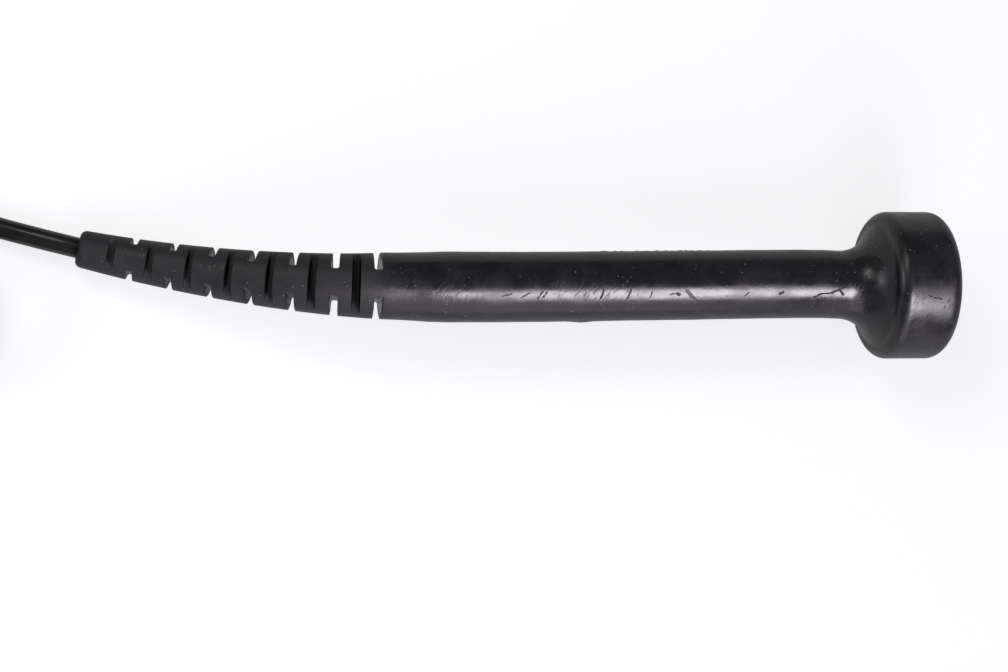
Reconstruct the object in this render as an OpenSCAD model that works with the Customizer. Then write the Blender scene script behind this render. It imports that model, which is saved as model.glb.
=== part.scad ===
// Hand-held electric shutter release: a one-piece rubber boot with a ladder strain relief,
// a thumb switch in the head, and a cord with a phone plug, stored in a tied hank.
// +X runs along the barrel towards the button, +Z is up, and the floor is z = 0.

/* [Head] */
// Diameter of the head
head_d = 39.2; // [34:0.1:48]
// Length of the head, from its back face to its front rim
head_len = 18; // [17:0.1:24]
// Rounding of the head's back edge
back_round = 3.6; // [1:0.1:5]
// Rounding of the head's front edge
front_round = 3.7; // [1:0.1:4]
// Radius of the hollow curve from the barrel into the head
neck_round = 10.5; // [7:0.1:14]
// Rubber thickness around and behind the cup
head_wall = 2.4; // [1.8:0.1:3]
// Length of the rubber lip that holds the face plate in
lip_t = 2; // [1.5:0.1:3]
// Diameter of the opening in the lip
lip_d = 29.4; // [26:0.1:30]

/* [Barrel] */
// Diameter of the barrel
barrel_d = 18.1; // [14.8:0.05:22]
// Length of the barrel, from the tail to the neck curve
barrel_len = 121.1; // [90:0.1:150]
// Length over which the tail's root widens into the barrel
root_blend = 16; // [8:1:24]

/* [Tail] */
// Length that the tail covers along the barrel's axis
tail_reach = 76.4; // [74:0.1:95]
// Sideways offset of the tail's tip
tail_side = 10.1; // [4:0.1:14]
// Height of the tip's rim above the floor
tail_lift = 0.3; // [0.1:0.1:2]
// Diameter of the tail at the barrel
tail_root_d = 17; // [14:0.1:20]
// Diameter of the tail at its tip
tail_tip_d = 9.4; // [8:0.1:12]
// Rounding of the tip's edge
tip_round = 1.6; // [0.5:0.1:1.8]
// Number of slot stations along the tail
slot_count = 14; // [4:1:14]
// Distance between slot stations
slot_pitch = 5.2; // [4.2:0.1:5.3]
// Distance from the barrel's end to the first slot
slot_first = 2.4; // [1.5:0.1:4]
// Width of a slot
slot_w = 2.05; // [1.2:0.05:2.6]
// Thickness of the web that two facing slots leave
web_t = 6.8; // [6:0.1:8]
// Rounding of a slot's floor
slot_round = 0.5; // [0.2:0.05:0.6]
// Turn of the slots about the tail's axis
slot_roll = 4; // [-45:1:45]

/* [Core] */
// Outer diameter of the stiffening tube
tube_d = 12.8; // [12.4:0.1:15.4]
// Wall of the stiffening tube
tube_wall = 1.2; // [0.8:0.1:1.3]
// Distance from the barrel's end to the tube
tube_inset = 8; // [5:0.5:14]
// Wall of the cup
cup_wall = 1.6; // [1.2:0.1:2.4]
// Thickness of the cup's floor
cup_floor = 2.2; // [1.6:0.1:2.6]
// Length of the collar that holds the tube
collar_len = 5.5; // [4:0.1:8]
// Wall of the collar
collar_wall = 1.1; // [0.8:0.1:1.3]
// Thickness of the face plate
plate_t = 2; // [1.4:0.1:2.4]
// Thickness of the gasket under the face plate
gasket_t = 0.6; // [0.4:0.1:1]

/* [Button] */
// Diameter of the thumb button
button_d = 18; // [15:0.1:21.6]
// Travel of the thumb button
button_travel = 2.5; // [1.5:0.1:2.6]
// Depth of the button's crown below the front rim
button_recess = 0.5; // [0.3:0.1:1.2]
// Height of the button's dome
button_dome = 1; // [0.5:0.1:1.5]
// Thickness of the button's flange
flange_t = 1.4; // [1:0.1:1.8]
// Diameter of the plunger
plunger_d = 3; // [2.5:0.1:3.6]
// Outer diameter of the return spring
spring_d = 13; // [12.6:0.1:13.4]
// Wire of the return spring
spring_wire = 0.9; // [0.6:0.1:1]
// Turns of the return spring
spring_turns = 5; // [3:1:6]

/* [Switch] */
// Length of the switch housing
housing_len = 15.5; // [14.5:0.1:18]
// Wall of the switch housing
housing_wall = 0.9; // [0.7:0.1:1]
// Outer diameter of the threaded bushing
bushing_d = 7; // [6:0.1:7.4]
// Length of the bushing in front of the cup's floor
bushing_out = 4.6; // [4:0.1:4.8]
// Width of the nut across its flats
nut_flats = 9; // [8.6:0.1:9.3]
// Thickness of the nut
nut_t = 2.2; // [1.6:0.1:2.6]
// Thickness of the insulating base
base_t = 3; // [2:0.1:4]
// Diameter of a terminal's contact head
contact_d = 1.8; // [1.4:0.1:2]
// Distance from the axis to each terminal
terminal_off = 2.4; // [2:0.1:2.6]
// Diameter of an insulated lead
lead_d = 1.4; // [1:0.1:1.6]

/* [Cord] */
// Diameter of the round cord
cord_d = 5.3; // [4.2:0.1:6]
// Turns in each layer of the hank
hank_wide = 2; // [2:1:3]
// Layers in the hank
hank_high = 3; // [2:1:4]
// Length of the hank's straight runs
hank_run = 60; // [50:1:75]
// Radius of the innermost fold, at the cord's middle
fold_r = 15; // [15:0.5:20]
// Thickness of the tie around the hank
tie_t = 0.8; // [0.6:0.1:1.2]
// Width of the tie
tie_w = 9; // [6:0.5:14]

/* [Plug] */
// Diameter of the plug's pin
pin_d = 6.35; // [6.35:0.01:6.35]
// Length of the pin's sleeve contact
pin_sleeve = 21.5; // [18:0.1:24]
// Length of the pin's tip contact
pin_tip = 8.8; // [8:0.1:10]
// Diameter of the plug's shell
shell_d = 14; // [13.4:0.1:16]
// Length of the plug's shell
shell_len = 36; // [34:0.5:44]
// Length of the relief outside the shell
relief_len = 14; // [8:0.5:20]

/* [Fits] */
// Clearance between pieces that are seated in each other
fit = 0.05; // [0.03:0.01:0.1]
// Clearance of a sliding fit
slide_fit = 0.06; // [0.03:0.01:0.1]
// Clearance around the button
button_gap = 0.3; // [0.2:0.05:0.4]

/* [Hidden] */

$fn = 72;
black_rubber = [0.07, 0.07, 0.08];
black_plastic = [0.12, 0.12, 0.13];
gloss_black = [0.03, 0.03, 0.035];
bakelite = [0.32, 0.17, 0.09];
brass = [0.75, 0.6, 0.3];
steel = [0.62, 0.63, 0.65];
nickel = [0.78, 0.77, 0.74];
nylon = [0.87, 0.85, 0.78];
red_wire = [0.7, 0.1, 0.08];

// The handle is drawn with x = 0 where the tail meets the barrel and the axis at z = 0.
head_r = head_d / 2;
barrel_r = barrel_d / 2;
tube_r = tube_d / 2;
tube_in_r = tube_r - tube_wall;
cord_r = cord_d / 2;
neck_rise = head_r - back_round - barrel_r;
neck_r = max(neck_round, neck_rise);
neck_turn = acos(1 - neck_rise / neck_r);
x_back = barrel_len + neck_r * sin(neck_turn);
x_front = x_back + head_len;

// The tail's middle line bends to the side and down to the floor.
tail_bend = 1.75;
tail_drop = head_r - tail_tip_d / 2 - tail_lift;
table_steps = 40;
function tail_at(u) = u <= 0
    ? [-tail_reach * u, 0, 0]
    : [-tail_reach * u, tail_side * pow(u, tail_bend), -tail_drop * u * u * (3 - 2 * u)];
function run_to(i) = i == 0
    ? 0
    : run_to(i - 1) + norm(tail_at(i / table_steps) - tail_at((i - 1) / table_steps));
tail_table = [for (i = [0:table_steps]) [run_to(i), i / table_steps]];
tail_len = run_to(table_steps);
function tail_point(s) = tail_at(s <= 0 ? s / tail_reach : lookup(s, tail_table));
function unit(v) = v / norm(v);
function tail_dir(s) = unit(tail_point(s - 0.2) - tail_point(min(s + 0.2, tail_len)));
tail_tip = tail_point(tail_len);
tail_sides = 28;
tail_rings = 16;
round_steps = 4;
tail_stops = concat(
    [for (i = [0:tail_rings]) -1 + (tail_len - tip_round + 1) * i / tail_rings],
    [for (i = [1:round_steps]) tail_len - tip_round * (1 - sin(90 * i / round_steps))]
);
function tail_taper(s) = (tail_root_d + (tail_tip_d - tail_root_d) * max(s, 0) / tail_len) / 2;
function tail_round(s) = let (past = max(0, s - tail_len + tip_round))
    tip_round - sqrt(max(0, tip_round * tip_round - past * past));
tail_radii = [for (s = tail_stops) tail_taper(s) - tail_round(s) - (s < 0 ? fit : 0)];
tail_path = [for (s = tail_stops) tail_point(s)];
tail_left = min([for (i = [0:len(tail_path) - 1])
    tail_path[i][0] - tail_radii[i] * sin(acos(tail_dir(tail_stops[i])[0]))]);
x_mid = (x_front + tail_left) / 2;

// Seats along the axis, from the front rim inwards.
plate_x = x_front - lip_t - plate_t;
rim_x = plate_x - gasket_t;
cup_back = x_back + head_wall;
floor_x = cup_back + cup_floor;
cup_r = head_r - head_wall;
cup_in_r = cup_r - cup_wall;
collar_r = tube_r + collar_wall;
tube_back = tube_inset;
tube_front = cup_back - fit;

// The button and what moves with it.
button_r = button_d / 2;
crown_x = x_front - button_recess;
flange_r = button_r + 1.5;
flange_x = plate_x - 0.1 - flange_t;
button_top_t = 2;
button_wall = 2;
cavity_x = crown_x - button_top_t;
plunger_seat = 0.4;
boss_r = plunger_d / 2 + 1.5;
spring_r = (spring_d - spring_wire) / 2;
plunger_r = plunger_d / 2;
bushing_r = bushing_d / 2;
bushing_end = floor_x + bushing_out;
boss_x = bushing_end + button_travel + 0.4;

// The switch behind the cup's floor.
housing_front = cup_back - fit;
housing_back = housing_front - housing_len;
housing_r = tube_in_r - fit;
housing_in_r = housing_r - housing_wall;
front_wall = 2;
base_x = housing_back + base_t;
contact_gap = 0.1;
head_h = 2.4;
terminal_x = base_x + head_h;
bridge_x = terminal_x + button_travel + contact_gap;
bridge_t = 0.8;
bridge_r = terminal_off + contact_d / 2 + 0.3;
clip_t = 0.6;
clip_gap = 0.05;
clip_r = min(1.4, terminal_off - contact_d / 2 - 0.1);
stem_r = min(0.9, clip_r - 0.3);
stem_past = 0.4;
plunger_x = bridge_x - clip_t - clip_gap - stem_past;
tag_r = 0.6;
tag_x = housing_back - 5;
sleeve_len = 7;
sleeve_wall = 0.4;

// The cord's end inside the tube.
jacket_x = housing_back - 26;
ferrule_len = 5;
ferrule_wall = 1.2;
bush_len = 8;
bush_x = jacket_x - 2 - ferrule_len - bush_len;
rear_bush_len = 8;
rear_bush_rim = 1.2;
lead_off = 0.95;

// The free cord runs from the tail's tip down to the floor and on to the hank's outer, lowest turn.
// Each step is the distance from the tip, the share of the way sideways, and the gap to the floor.
tip = tail_tip + [-x_mid, 0, head_r];
hank_x = tip[0] - 45.592;
hank_top = tie_t + hank_high * cord_d;
outer_y = fold_r + (hank_wide - 1) * cord_d;
cord_steps = [
    [3.6, 0.09, 2.1], [7.6, 0.19, 1.6], [12.6, 0.32, 1], [18.6, 0.48, 0.5],
    [24.6, 0.66, 0.3], [30.6, 0.81, 0.4], [36.6, 0.93, 0.6]
];
cord_route = concat([tip], [for (step = cord_steps)
    [tip[0] - step[0], tip[1] + (outer_y - tip[1]) * step[1], cord_r + step[2]]]);

// From the hank's last fold the cord climbs into the plug, which lies on top of the hank.
// Each step is the distance from the fold, the share of the way sideways, and the share of the climb.
last_z = hank_top + cord_r + 0.2;
plug_at = [hank_x - 32.5, fold_r + (hank_wide - 1) * cord_r, hank_top + shell_d / 2 + 0.1];
plug_steps = [
    [0, 0, 0], [0.8, 0.33, 0], [3.5, 0.62, 0], [8, 0.85, 0], [14, 0.98, 0], [20, 1, 0.05],
    [26, 1, 0.2], [32, 1, 0.48], [38, 1, 0.8], [44, 1, 0.98], [48, 1, 1], [69, 1, 1]
];
plug_route = [for (step = plug_steps)
    [hank_x + fold_r - step[0], plug_at[1] * step[1], last_z + (plug_at[2] - last_z) * step[2]]];

// The plug, measured from its cord end.
pin_r = pin_d / 2;
shell_r = shell_d / 2;
shell_wall = 0.9;
shell_x = relief_len;
shell_end = shell_x + shell_len;
relief_r = cord_r + 2;
thread_len = 8;
collar_t = 3;
body_x = shell_end - thread_len;
pin_x = shell_end + collar_t;
insulator_x = pin_x + pin_sleeve;
insulator_t = 1.2;
tip_x = insulator_x + insulator_t;
tip_r = pin_r - 0.15;
tip_waist = 0.8;
ring_r = pin_r - 0.35;
rod_r = 1.2;
rod_x = body_x - 5;
insulation_r = rod_r + 0.7;
jacket_end = 21.5;
lug_z = 1.5;
lug_t = 0.6;
lug_reach = 4;
tongue_t = 1;
tongue_z = -shell_r + shell_wall + 1.2;

function side_of(d) = unit(cross([0, 0, 1], d));
function dir_at(path, i) = unit(path[min(i + 1, len(path) - 1)] - path[max(i - 1, 0)]);

// A round bar of varying radius along a path.
module sweep(path, radii, sides, across = []) {
    points = [
        for (i = [0:len(path) - 1])
        let (d = dir_at(path, i), s = len(across) > 0 ? across[i] : side_of(d), u = cross(d, s))
        for (k = [0:sides - 1])
        path[i] + radii[i] * (cos(360 * k / sides) * s + sin(360 * k / sides) * u)
    ];
    last = (len(path) - 1) * sides;
    walls = [
        for (i = [0:len(path) - 2])
        for (k = [0:sides - 1])
        let (a = i * sides + k, b = i * sides + (k + 1) % sides)
        [a, a + sides, b + sides, b]
    ];
    caps = [[for (k = [0:sides - 1]) k], [for (k = [sides - 1:-1:0]) last + k]];
    polyhedron(points, concat(walls, caps));
}

module wire(path, d, sides = 8) sweep(path, [for (p = path) d / 2], sides);
module handle() translate([-x_mid, 0, head_r]) children();
module rod(x0, x1, r) translate([x0, 0, 0]) rotate([0, 90, 0]) cylinder(h = x1 - x0, r = r);
module turned(profile) rotate([0, 90, 0]) rotate_extrude() polygon(profile);
module tube(x0, x1, r_out, r_in) {
    difference() {
        rod(x0, x1, r_out);
        rod(x0 - 1, x1 + 1, r_in);
    }
}
module at_tail(s) {
    d = tail_dir(s);
    translate(tail_point(s)) rotate([0, -asin(d[2]), atan2(d[1], d[0])]) children();
}

// ---- Rubber boot ----

arc_steps = 8;
blend_steps = 6;
boot_profile = concat(
    [[0, 0]],
    [for (i = [0:blend_steps]) let (t = i / blend_steps)
        [tail_root_d / 2 + (barrel_r - tail_root_d / 2) * t * t * (3 - 2 * t), root_blend * t]],
    [for (i = [0:arc_steps]) let (a = neck_turn * i / arc_steps)
        [barrel_r + neck_r * (1 - cos(a)), barrel_len + neck_r * sin(a)]],
    [for (i = [0:arc_steps]) let (a = 90 * i / arc_steps)
        [head_r - back_round * (1 - sin(a)), x_back + back_round * (1 - cos(a))]],
    [for (i = [0:arc_steps]) let (a = 90 * i / arc_steps)
        [head_r - front_round * (1 - cos(a)), x_front - front_round * (1 - sin(a))]],
    [[0, x_front]]
);

module slot() {
    reach = tail_root_d / 2 + 2;
    flat_w = slot_w - 2 * slot_round;
    floor_y = web_t / 2;
    translate([-flat_w / 2, floor_y, -reach]) cube([flat_w, reach, 2 * reach]);
    translate([-slot_w / 2, floor_y + slot_round, -reach]) cube([slot_w, reach, 2 * reach]);
    for (side = [-1, 1])
        translate([side * flat_w / 2, floor_y + slot_round, -reach])
            cylinder(h = 2 * reach, r = slot_round, $fn = 24);
}

module tail_slots() {
    for (k = [0:slot_count - 1])
        for (turn = [0, 180])
            at_tail(slot_first + k * slot_pitch)
                rotate([turn + 90 * (k % 2) - slot_roll, 0, 0])
                    slot();
}

cord_stops = [for (i = [0:10]) i * tail_len / 10];
function inner_path(from_x, past) = concat(
    [[from_x, 0, 0], [3, 0, 0]],
    [for (s = cord_stops) tail_point(s)],
    past > 0 ? [tail_tip - past * tail_dir(tail_len)] : []
);

module boot_cavity() {
    rod(tube_back - rear_bush_rim - fit, cup_back, tube_r + fit);
    rod(cup_back - collar_len - fit, cup_back, collar_r + fit);
    rod(cup_back - fit, x_front - lip_t, cup_r + fit);
    rod(x_front - lip_t - 1, x_front + 1, lip_d / 2);
    wire(inner_path(tube_back, 1), cord_d + 2 * fit, 12);
}

module rubber_boot() color(black_rubber) handle() {
    difference() {
        union() {
            turned(boot_profile);
            sweep(tail_path, tail_radii, tail_sides);
        }
        boot_cavity();
        tail_slots();
    }
}

// ---- Stiffening tube, cup and face ----

module core_tube() color(steel) handle() tube(tube_back, tube_front, tube_r, tube_in_r);

module rear_bush() color(nylon) handle() {
    difference() {
        union() {
            rod(tube_back - rear_bush_rim, tube_back - fit, tube_r);
            rod(tube_back - rear_bush_rim, tube_back + rear_bush_len, tube_in_r - fit);
        }
        rod(0, tube_back + rear_bush_len + 1, cord_r + fit);
    }
}

module head_cup() color(black_plastic) handle() {
    difference() {
        union() {
            rod(cup_back, rim_x, cup_r);
            rod(cup_back - collar_len, cup_back + fit, collar_r);
        }
        rod(floor_x, rim_x + 1, cup_in_r);
        rod(cup_back - collar_len - 1, cup_back, tube_r + fit);
        rod(cup_back - 1, floor_x + 1, bushing_r + fit);
    }
}

module face_gasket() color(black_rubber) handle()
    tube(rim_x + fit, plate_x - fit, cup_r - fit, cup_in_r + 0.2);

module face_plate() color(black_plastic) handle() {
    collar_h = 1;
    difference() {
        union() {
            rod(plate_x, plate_x + plate_t - fit, cup_r - fit);
            rod(plate_x, plate_x + plate_t + collar_h, button_r + button_gap + 1.6);
        }
        rod(plate_x - 1, x_front, button_r + button_gap);
    }
}

// ---- Button and contact ----

dome_r = (button_r * button_r + button_dome * button_dome) / (2 * button_dome);
dome_steps = 6;
button_profile = concat(
    [[0, flange_x], [flange_r, flange_x], [flange_r, flange_x + flange_t],
     [button_r, flange_x + flange_t]],
    [for (i = [0:dome_steps - 1]) let (r = button_r * (1 - i / dome_steps))
        [r, crown_x - dome_r + sqrt(dome_r * dome_r - r * r)]],
    [[0, crown_x]]
);
module thumb_button() color(gloss_black) handle() {
    difference() {
        turned(button_profile);
        tube(flange_x - 1, cavity_x, button_r - button_wall, boss_r);
        rod(flange_x - 1, boss_x, boss_r + 1);
        rod(flange_x - 1, cavity_x - plunger_seat + fit, plunger_r + fit);
    }
}

module plunger() color(nylon) handle() {
    shoulder_x = bridge_x + bridge_t + clip_gap;
    rod(plunger_x, shoulder_x + 1, stem_r);
    rod(shoulder_x, cavity_x - plunger_seat, plunger_r);
}

module return_spring() color(steel) handle() {
    steps = 14;
    from_x = floor_x + spring_wire / 2 + fit;
    to_x = cavity_x - spring_wire / 2 - fit;
    count = spring_turns * steps;
    radial = [for (i = [0:count]) [0, cos(360 * i / steps), sin(360 * i / steps)]];
    path = [for (i = [0:count]) [from_x + (to_x - from_x) * i / count, 0, 0] + spring_r * radial[i]];
    sweep(path, [for (p = path) spring_wire / 2], 6, radial);
}

module contact_bridge() color(brass) handle()
    tube(bridge_x, bridge_x + bridge_t, bridge_r, stem_r + fit);

module contact_clip() color(steel) handle()
    tube(bridge_x - clip_t - clip_gap, bridge_x - clip_gap, clip_r, stem_r + fit);

// ---- Switch ----

module switch_housing() color(bakelite) handle() {
    difference() {
        rod(housing_back, housing_front, housing_r);
        rod(housing_back - 1, housing_front - front_wall, housing_in_r);
        rod(housing_front - front_wall - 1, housing_front + 1, bushing_r + fit);
    }
}

module switch_bushing() color(brass) handle() {
    flange_back = housing_front - front_wall - 1.2;
    difference() {
        union() {
            rod(flange_back, bushing_end, bushing_r);
            rod(flange_back, housing_front - front_wall - fit, housing_in_r - fit);
        }
        rod(flange_back - 1, bushing_end + 1, plunger_r + slide_fit);
    }
}

washer_t = 0.6;
nut_x = floor_x + washer_t + 2 * fit;
module lock_washer() color(steel) handle()
    tube(floor_x + fit, floor_x + fit + washer_t, nut_flats / 2, bushing_r + fit);

module switch_nut() color(brass) handle() {
    difference() {
        translate([nut_x, 0, 0]) rotate([0, 90, 0])
            cylinder(h = nut_t, d = nut_flats / cos(30), $fn = 6);
        rod(nut_x - 1, nut_x + nut_t + 1, bushing_r + fit);
    }
}

module terminal_base() color(bakelite) handle() {
    difference() {
        rod(housing_back, base_x, housing_in_r - fit);
        for (side = [-1, 1])
            translate([0, side * terminal_off, 0])
                rod(housing_back - 1, base_x + 1, tag_r + fit);
    }
}

module terminal(side) color(brass) handle() translate([0, side * terminal_off, 0]) {
    rod(base_x + fit, terminal_x, contact_d / 2);
    rod(tag_x, base_x + 1, tag_r);
}
module terminal_a() terminal(1);
module terminal_b() terminal(-1);

module solder_sleeve(side) color(black_rubber) handle() translate([0, side * terminal_off, 0])
    tube(tag_x - sleeve_len / 2, tag_x + sleeve_len / 2, lead_d / 2 + fit + sleeve_wall, lead_d / 2 + fit);
module solder_sleeve_a() solder_sleeve(1);
module solder_sleeve_b() solder_sleeve(-1);

module lead(side, tint) color(tint) handle() {
    start = tag_x - fit;
    spread = start - sleeve_len / 2 - 1;
    steps = 5;
    bend = [for (i = [0:steps]) let (t = i / steps)
        [spread + (jacket_x + 3 - spread) * t,
         side * (terminal_off + (lead_off - terminal_off) * t * t * (3 - 2 * t)), 0]];
    wire(concat([[start, side * terminal_off, 0]], bend, [[jacket_x + fit, side * lead_off, 0]]), lead_d);
}
module lead_red() lead(1, red_wire);
module lead_black() lead(-1, gloss_black);

// ---- Cord inside the handle ----

module cord_ferrule() color(brass) handle()
    tube(jacket_x - 2 - ferrule_len + fit, jacket_x - 2, cord_r + fit + ferrule_wall, cord_r + fit);

module cord_bush() color(nylon) handle() tube(bush_x, bush_x + bush_len, tube_in_r - fit, cord_r + fit);

module cord_inner() color(gloss_black) handle() wire(inner_path(jacket_x, 0), cord_d, 12);

// ---- Free cord and hank ----

module cord_free() color(gloss_black) wire(cord_route, cord_d, 12);

module stadium(r) {
    translate([hank_x - hank_run, 0]) circle(r = r);
    translate([hank_x, 0]) circle(r = r);
    translate([hank_x - hank_run, -r]) square([hank_run, 2 * r]);
}

hank_in = fold_r - cord_r;
hank_out = hank_in + hank_wide * cord_d;
module cord_hank() color(gloss_black)
    translate([0, 0, tie_t]) linear_extrude(hank_high * cord_d) difference() {
        stadium(hank_out);
        stadium(hank_in);
    }

module cord_plug_end() color(gloss_black) wire(plug_route, cord_d, 12);

module hank_tie() color(black_plastic) {
    high = hank_high * cord_d;
    wide = hank_wide * cord_d;
    translate([hank_x - hank_run / 2 - tie_w / 2, -hank_out, 0]) difference() {
        translate([0, -tie_t, 0]) cube([tie_w, wide + 2 * tie_t, high + 2 * tie_t]);
        translate([-1, -fit, tie_t - fit]) cube([tie_w + 2, wide + 2 * fit, high + 2 * fit]);
    }
}

// ---- Plug ----

module plug() translate(plug_at) mirror([1, 0, 0]) children();

module plug_relief() color(black_rubber) plug() {
    ridges = 4;
    pitch = (relief_len - 2) / ridges;
    difference() {
        union() {
            rod(0, shell_x + 6, relief_r - 0.5);
            for (i = [0:ridges - 1])
                rod(pitch * i, pitch * i + pitch / 2, relief_r);
            rod(relief_len - 1.5, shell_x + 2, relief_r);
            rod(shell_x + 2.1, shell_x + 4, relief_r + 1);
        }
        rod(-1, shell_x + 7, cord_r + fit);
    }
}

module plug_cover() color(black_plastic) plug() {
    end_round = 2.5;
    difference() {
        turned(concat(
            [[0, shell_x]],
            [for (i = [0:arc_steps]) let (a = 90 * i / arc_steps)
                [shell_r - end_round * (1 - sin(a)), shell_x + end_round * (1 - cos(a))]],
            [[shell_r, shell_end], [0, shell_end]]
        ));
        rod(shell_x - 1, shell_end, relief_r + fit);
        rod(shell_x + 2.05, shell_end + 1, shell_r - shell_wall);
        for (i = [0:3])
            tube(shell_x + 10 + 5 * i, shell_x + 11 + 5 * i, shell_r + 1, shell_r - 0.4);
    }
}

module plug_liner() color(nylon) plug()
    tube(shell_x + 7, body_x - 1, shell_r - shell_wall - fit, shell_r - shell_wall - 0.6);

module plug_body() color(nickel) plug() {
    tongue = 14;
    difference() {
        union() {
            rod(body_x, shell_end + 1, shell_r - shell_wall - fit);
            rod(shell_end + fit, pin_x, shell_r - 0.2);
            rod(pin_x - 1, insulator_x, pin_r);
            translate([body_x - tongue, -2, tongue_z]) cube([tongue + 1, 4, tongue_t]);
        }
        rod(body_x - 1, insulator_x + 1, insulation_r + fit);
    }
}

module plug_insulator() color(black_plastic) plug() {
    difference() {
        union() {
            rod(body_x - 1.5, insulator_x + 0.5, insulation_r);
            rod(insulator_x + fit, tip_x - fit, ring_r);
        }
        rod(body_x - 3, tip_x + 1, rod_r + fit);
    }
}

module plug_tip() color(nickel) plug() {
    neck = tip_x + pin_tip * 0.35;
    bulge = tip_x + pin_tip * 0.58;
    turned([
        [0, rod_x], [rod_r, rod_x], [rod_r, tip_x], [tip_r, tip_x], [tip_r - 0.15, tip_x + 1.2],
        [tip_r - tip_waist, neck], [tip_r, bulge], [tip_r - 0.1, bulge + 0.6],
        [1.3, tip_x + pin_tip - 0.4], [0.7, tip_x + pin_tip], [0, tip_x + pin_tip]
    ]);
}

module plug_lug() color(brass) plug() {
    difference() {
        union() {
            rod(rod_x + 1, rod_x + 1 + lug_t, 2.6);
            translate([rod_x - lug_reach, -0.9, lug_z]) cube([lug_reach + 1 + lug_t, 1.8, lug_t]);
        }
        rod(rod_x, rod_x + 3, rod_r + fit);
    }
}

module plug_lead(side, tint, to_x, seat_z) color(tint) plug() {
    steps = 5;
    straight = 4;
    from_x = jacket_end + 1;
    to_z = seat_z + fit + lead_d / 2;
    bend = [for (i = [0:steps]) let (t = i / steps, e = t * t * (3 - 2 * t))
        [from_x + (to_x - straight - from_x) * t, side * lead_off * (1 - e), to_z * e]];
    wire(concat([[jacket_end + fit, side * lead_off, 0]], bend, [[to_x, 0, to_z]]), lead_d);
}
module plug_lead_red() plug_lead(1, red_wire, rod_x - 1, lug_z + lug_t);
module plug_lead_black() plug_lead(-1, gloss_black, body_x - 8, tongue_z + tongue_t);

rubber_boot();
core_tube();
rear_bush();
head_cup();
face_gasket();
face_plate();
thumb_button();
plunger();
return_spring();
contact_bridge();
contact_clip();
switch_housing();
switch_bushing();
lock_washer();
switch_nut();
terminal_base();
terminal_a();
terminal_b();
solder_sleeve_a();
solder_sleeve_b();
lead_red();
lead_black();
cord_ferrule();
cord_bush();
cord_inner();
cord_free();
cord_hank();
cord_plug_end();
hank_tie();
plug_relief();
plug_cover();
plug_liner();
plug_body();
plug_insulator();
plug_tip();
plug_lug();
plug_lead_red();
plug_lead_black();
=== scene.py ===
"""Builds the looks of a hand-held electric shutter release: boot, button, cord, hank, tie and plug."""

import math

import bmesh
import bpy
import numpy as np
from mathutils import Matrix, Vector


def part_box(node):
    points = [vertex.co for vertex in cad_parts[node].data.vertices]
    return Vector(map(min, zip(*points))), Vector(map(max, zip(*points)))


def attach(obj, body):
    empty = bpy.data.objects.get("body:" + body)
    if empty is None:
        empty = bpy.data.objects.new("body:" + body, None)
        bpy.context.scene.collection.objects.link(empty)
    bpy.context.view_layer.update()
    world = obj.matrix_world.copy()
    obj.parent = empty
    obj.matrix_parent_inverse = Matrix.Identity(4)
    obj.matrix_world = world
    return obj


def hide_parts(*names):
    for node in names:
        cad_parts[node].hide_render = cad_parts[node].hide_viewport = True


bl_info = {
    "name": "Electric shutter release",
    "version": (1, 0, 0),
    "blender": (4, 5, 0),
    "location": "View3D > Sidebar > Shutter release",
    "description": "Builds the rubber boot, thumb button, cord, hank and plug around the packed frame",
    "category": "Object",
}

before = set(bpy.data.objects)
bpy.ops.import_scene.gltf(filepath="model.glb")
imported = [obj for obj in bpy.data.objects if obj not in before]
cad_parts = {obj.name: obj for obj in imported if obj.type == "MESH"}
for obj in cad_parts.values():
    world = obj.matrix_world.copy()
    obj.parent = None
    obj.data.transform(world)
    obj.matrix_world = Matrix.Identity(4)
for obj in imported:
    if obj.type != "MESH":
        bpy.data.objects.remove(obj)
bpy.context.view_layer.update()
MM = 0.001
CLEAR = 0.05 * MM  # between pieces that fit together
FRONT_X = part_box("rubber_boot")[1].x


def length(name, description, default):
    """A size in metres, shown with units in the panel."""
    return bpy.props.FloatProperty(
        name=name, description=description, default=default, unit="LENGTH", precision=5
    )


def tint(name, description, default):
    """A linear colour, shown as a swatch in the panel."""
    return bpy.props.FloatVectorProperty(
        name=name, description=description, default=default, size=3, subtype="COLOR", min=0, max=1
    )


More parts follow.
